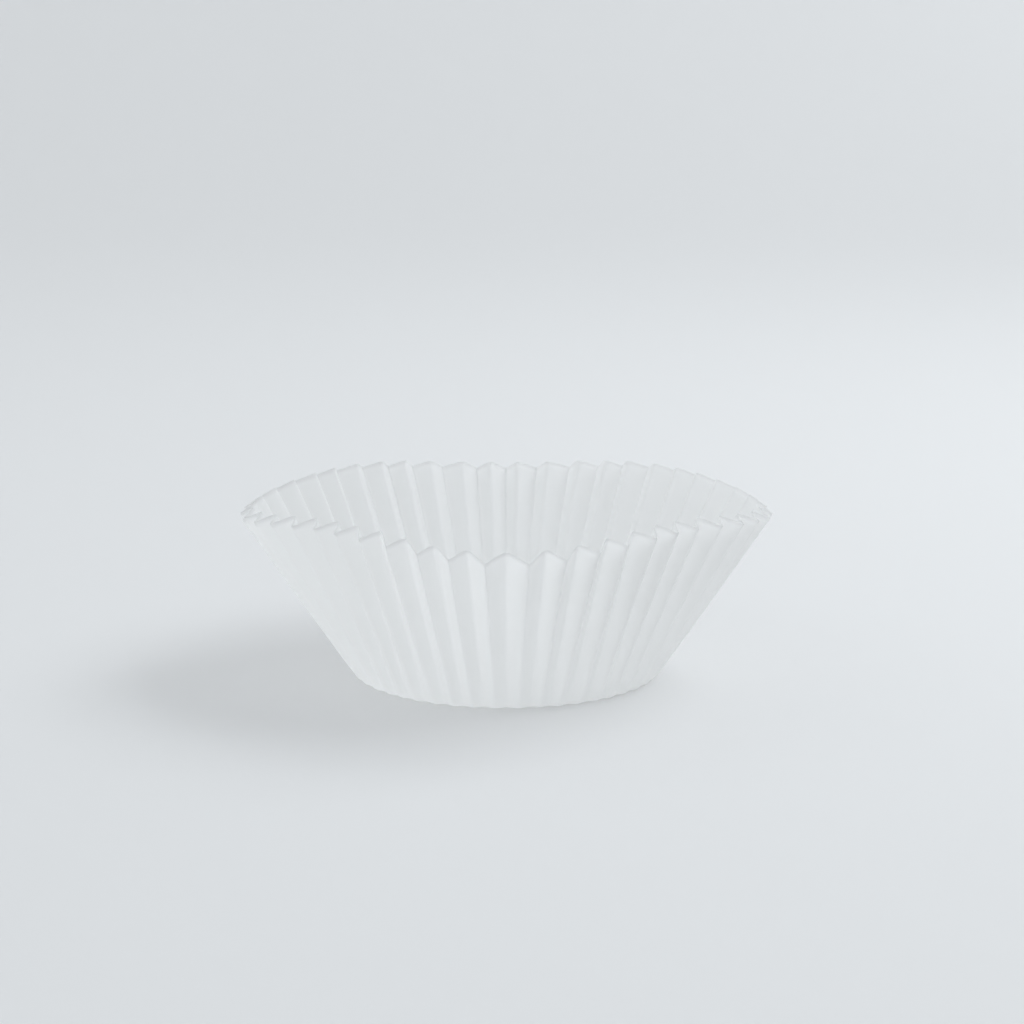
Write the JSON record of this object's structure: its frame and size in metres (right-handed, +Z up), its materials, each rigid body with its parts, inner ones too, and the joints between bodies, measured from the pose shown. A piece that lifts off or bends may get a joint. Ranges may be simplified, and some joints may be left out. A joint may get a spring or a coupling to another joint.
{
  "type": "cupcake liner",
  "caption": "Fluted paper baking cup with a flat round base and a flared, pleated wall that opens into a zigzag rim.",
  "frame": {"origin": "centre of the flat base, on its underside", "axes": "+Z up out of the cup's mouth, -Y towards the front, +X towards the right"},
  "size_m": [0.0872, 0.0871, 0.0303],
  "materials": {
    "greaseproof_paper": "plain white greaseproof paper, matt and slightly translucent"
  },
  "bodies": {
    "root": {"liner": "greaseproof_paper"}
  },
  "joints": []
}
